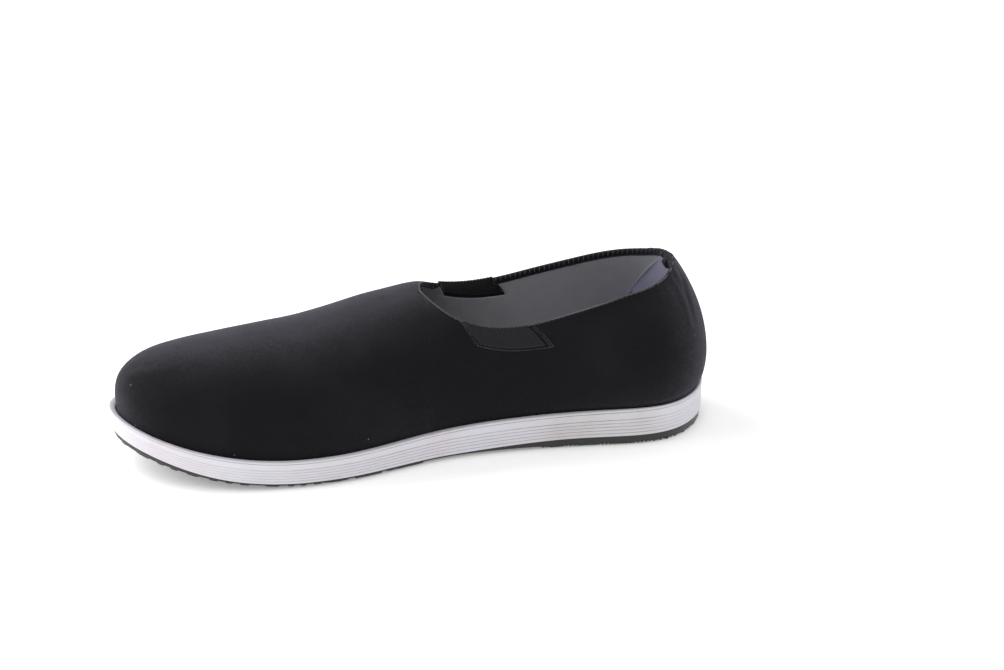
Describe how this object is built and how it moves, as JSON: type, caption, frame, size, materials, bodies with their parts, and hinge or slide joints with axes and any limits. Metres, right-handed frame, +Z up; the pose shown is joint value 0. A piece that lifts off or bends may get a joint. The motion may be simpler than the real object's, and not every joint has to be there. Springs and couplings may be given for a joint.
{
  "type": "slip-on cloth shoe",
  "caption": "Black cotton slip-on cloth shoe with a low cut front, elastic gores, white rubber band and black rubber tread, right foot, standing empty",
  "frame": {"origin": "middle of the shoe's bounding box in X and Y, on the floor plane under the tread", "axes": "+Z up, heel towards +Y and toe towards -Y, the medial side towards +X"},
  "size_m": [0.1063, 0.2876, 0.0796],
  "materials": {
    "black_rubber": "matte moulded rubber with fine raised texture",
    "white_rubber": "matte white moulded rubber, slightly blue grey",
    "black_cotton": "napped black cotton with a soft sheen",
    "black_elastic": "ribbed black woven elastic",
    "grey_lining": "plain woven blue grey cotton lining"
  },
  "bodies": {
    "root": {"outsole": "black_rubber", "midsole": "white_rubber", "sole_plug": "white_rubber", "upper": "black_cotton", "elastic_gore_medial": "black_elastic", "elastic_gore_lateral": "black_elastic", "insole": "grey_lining"}
  },
  "joints": []
}
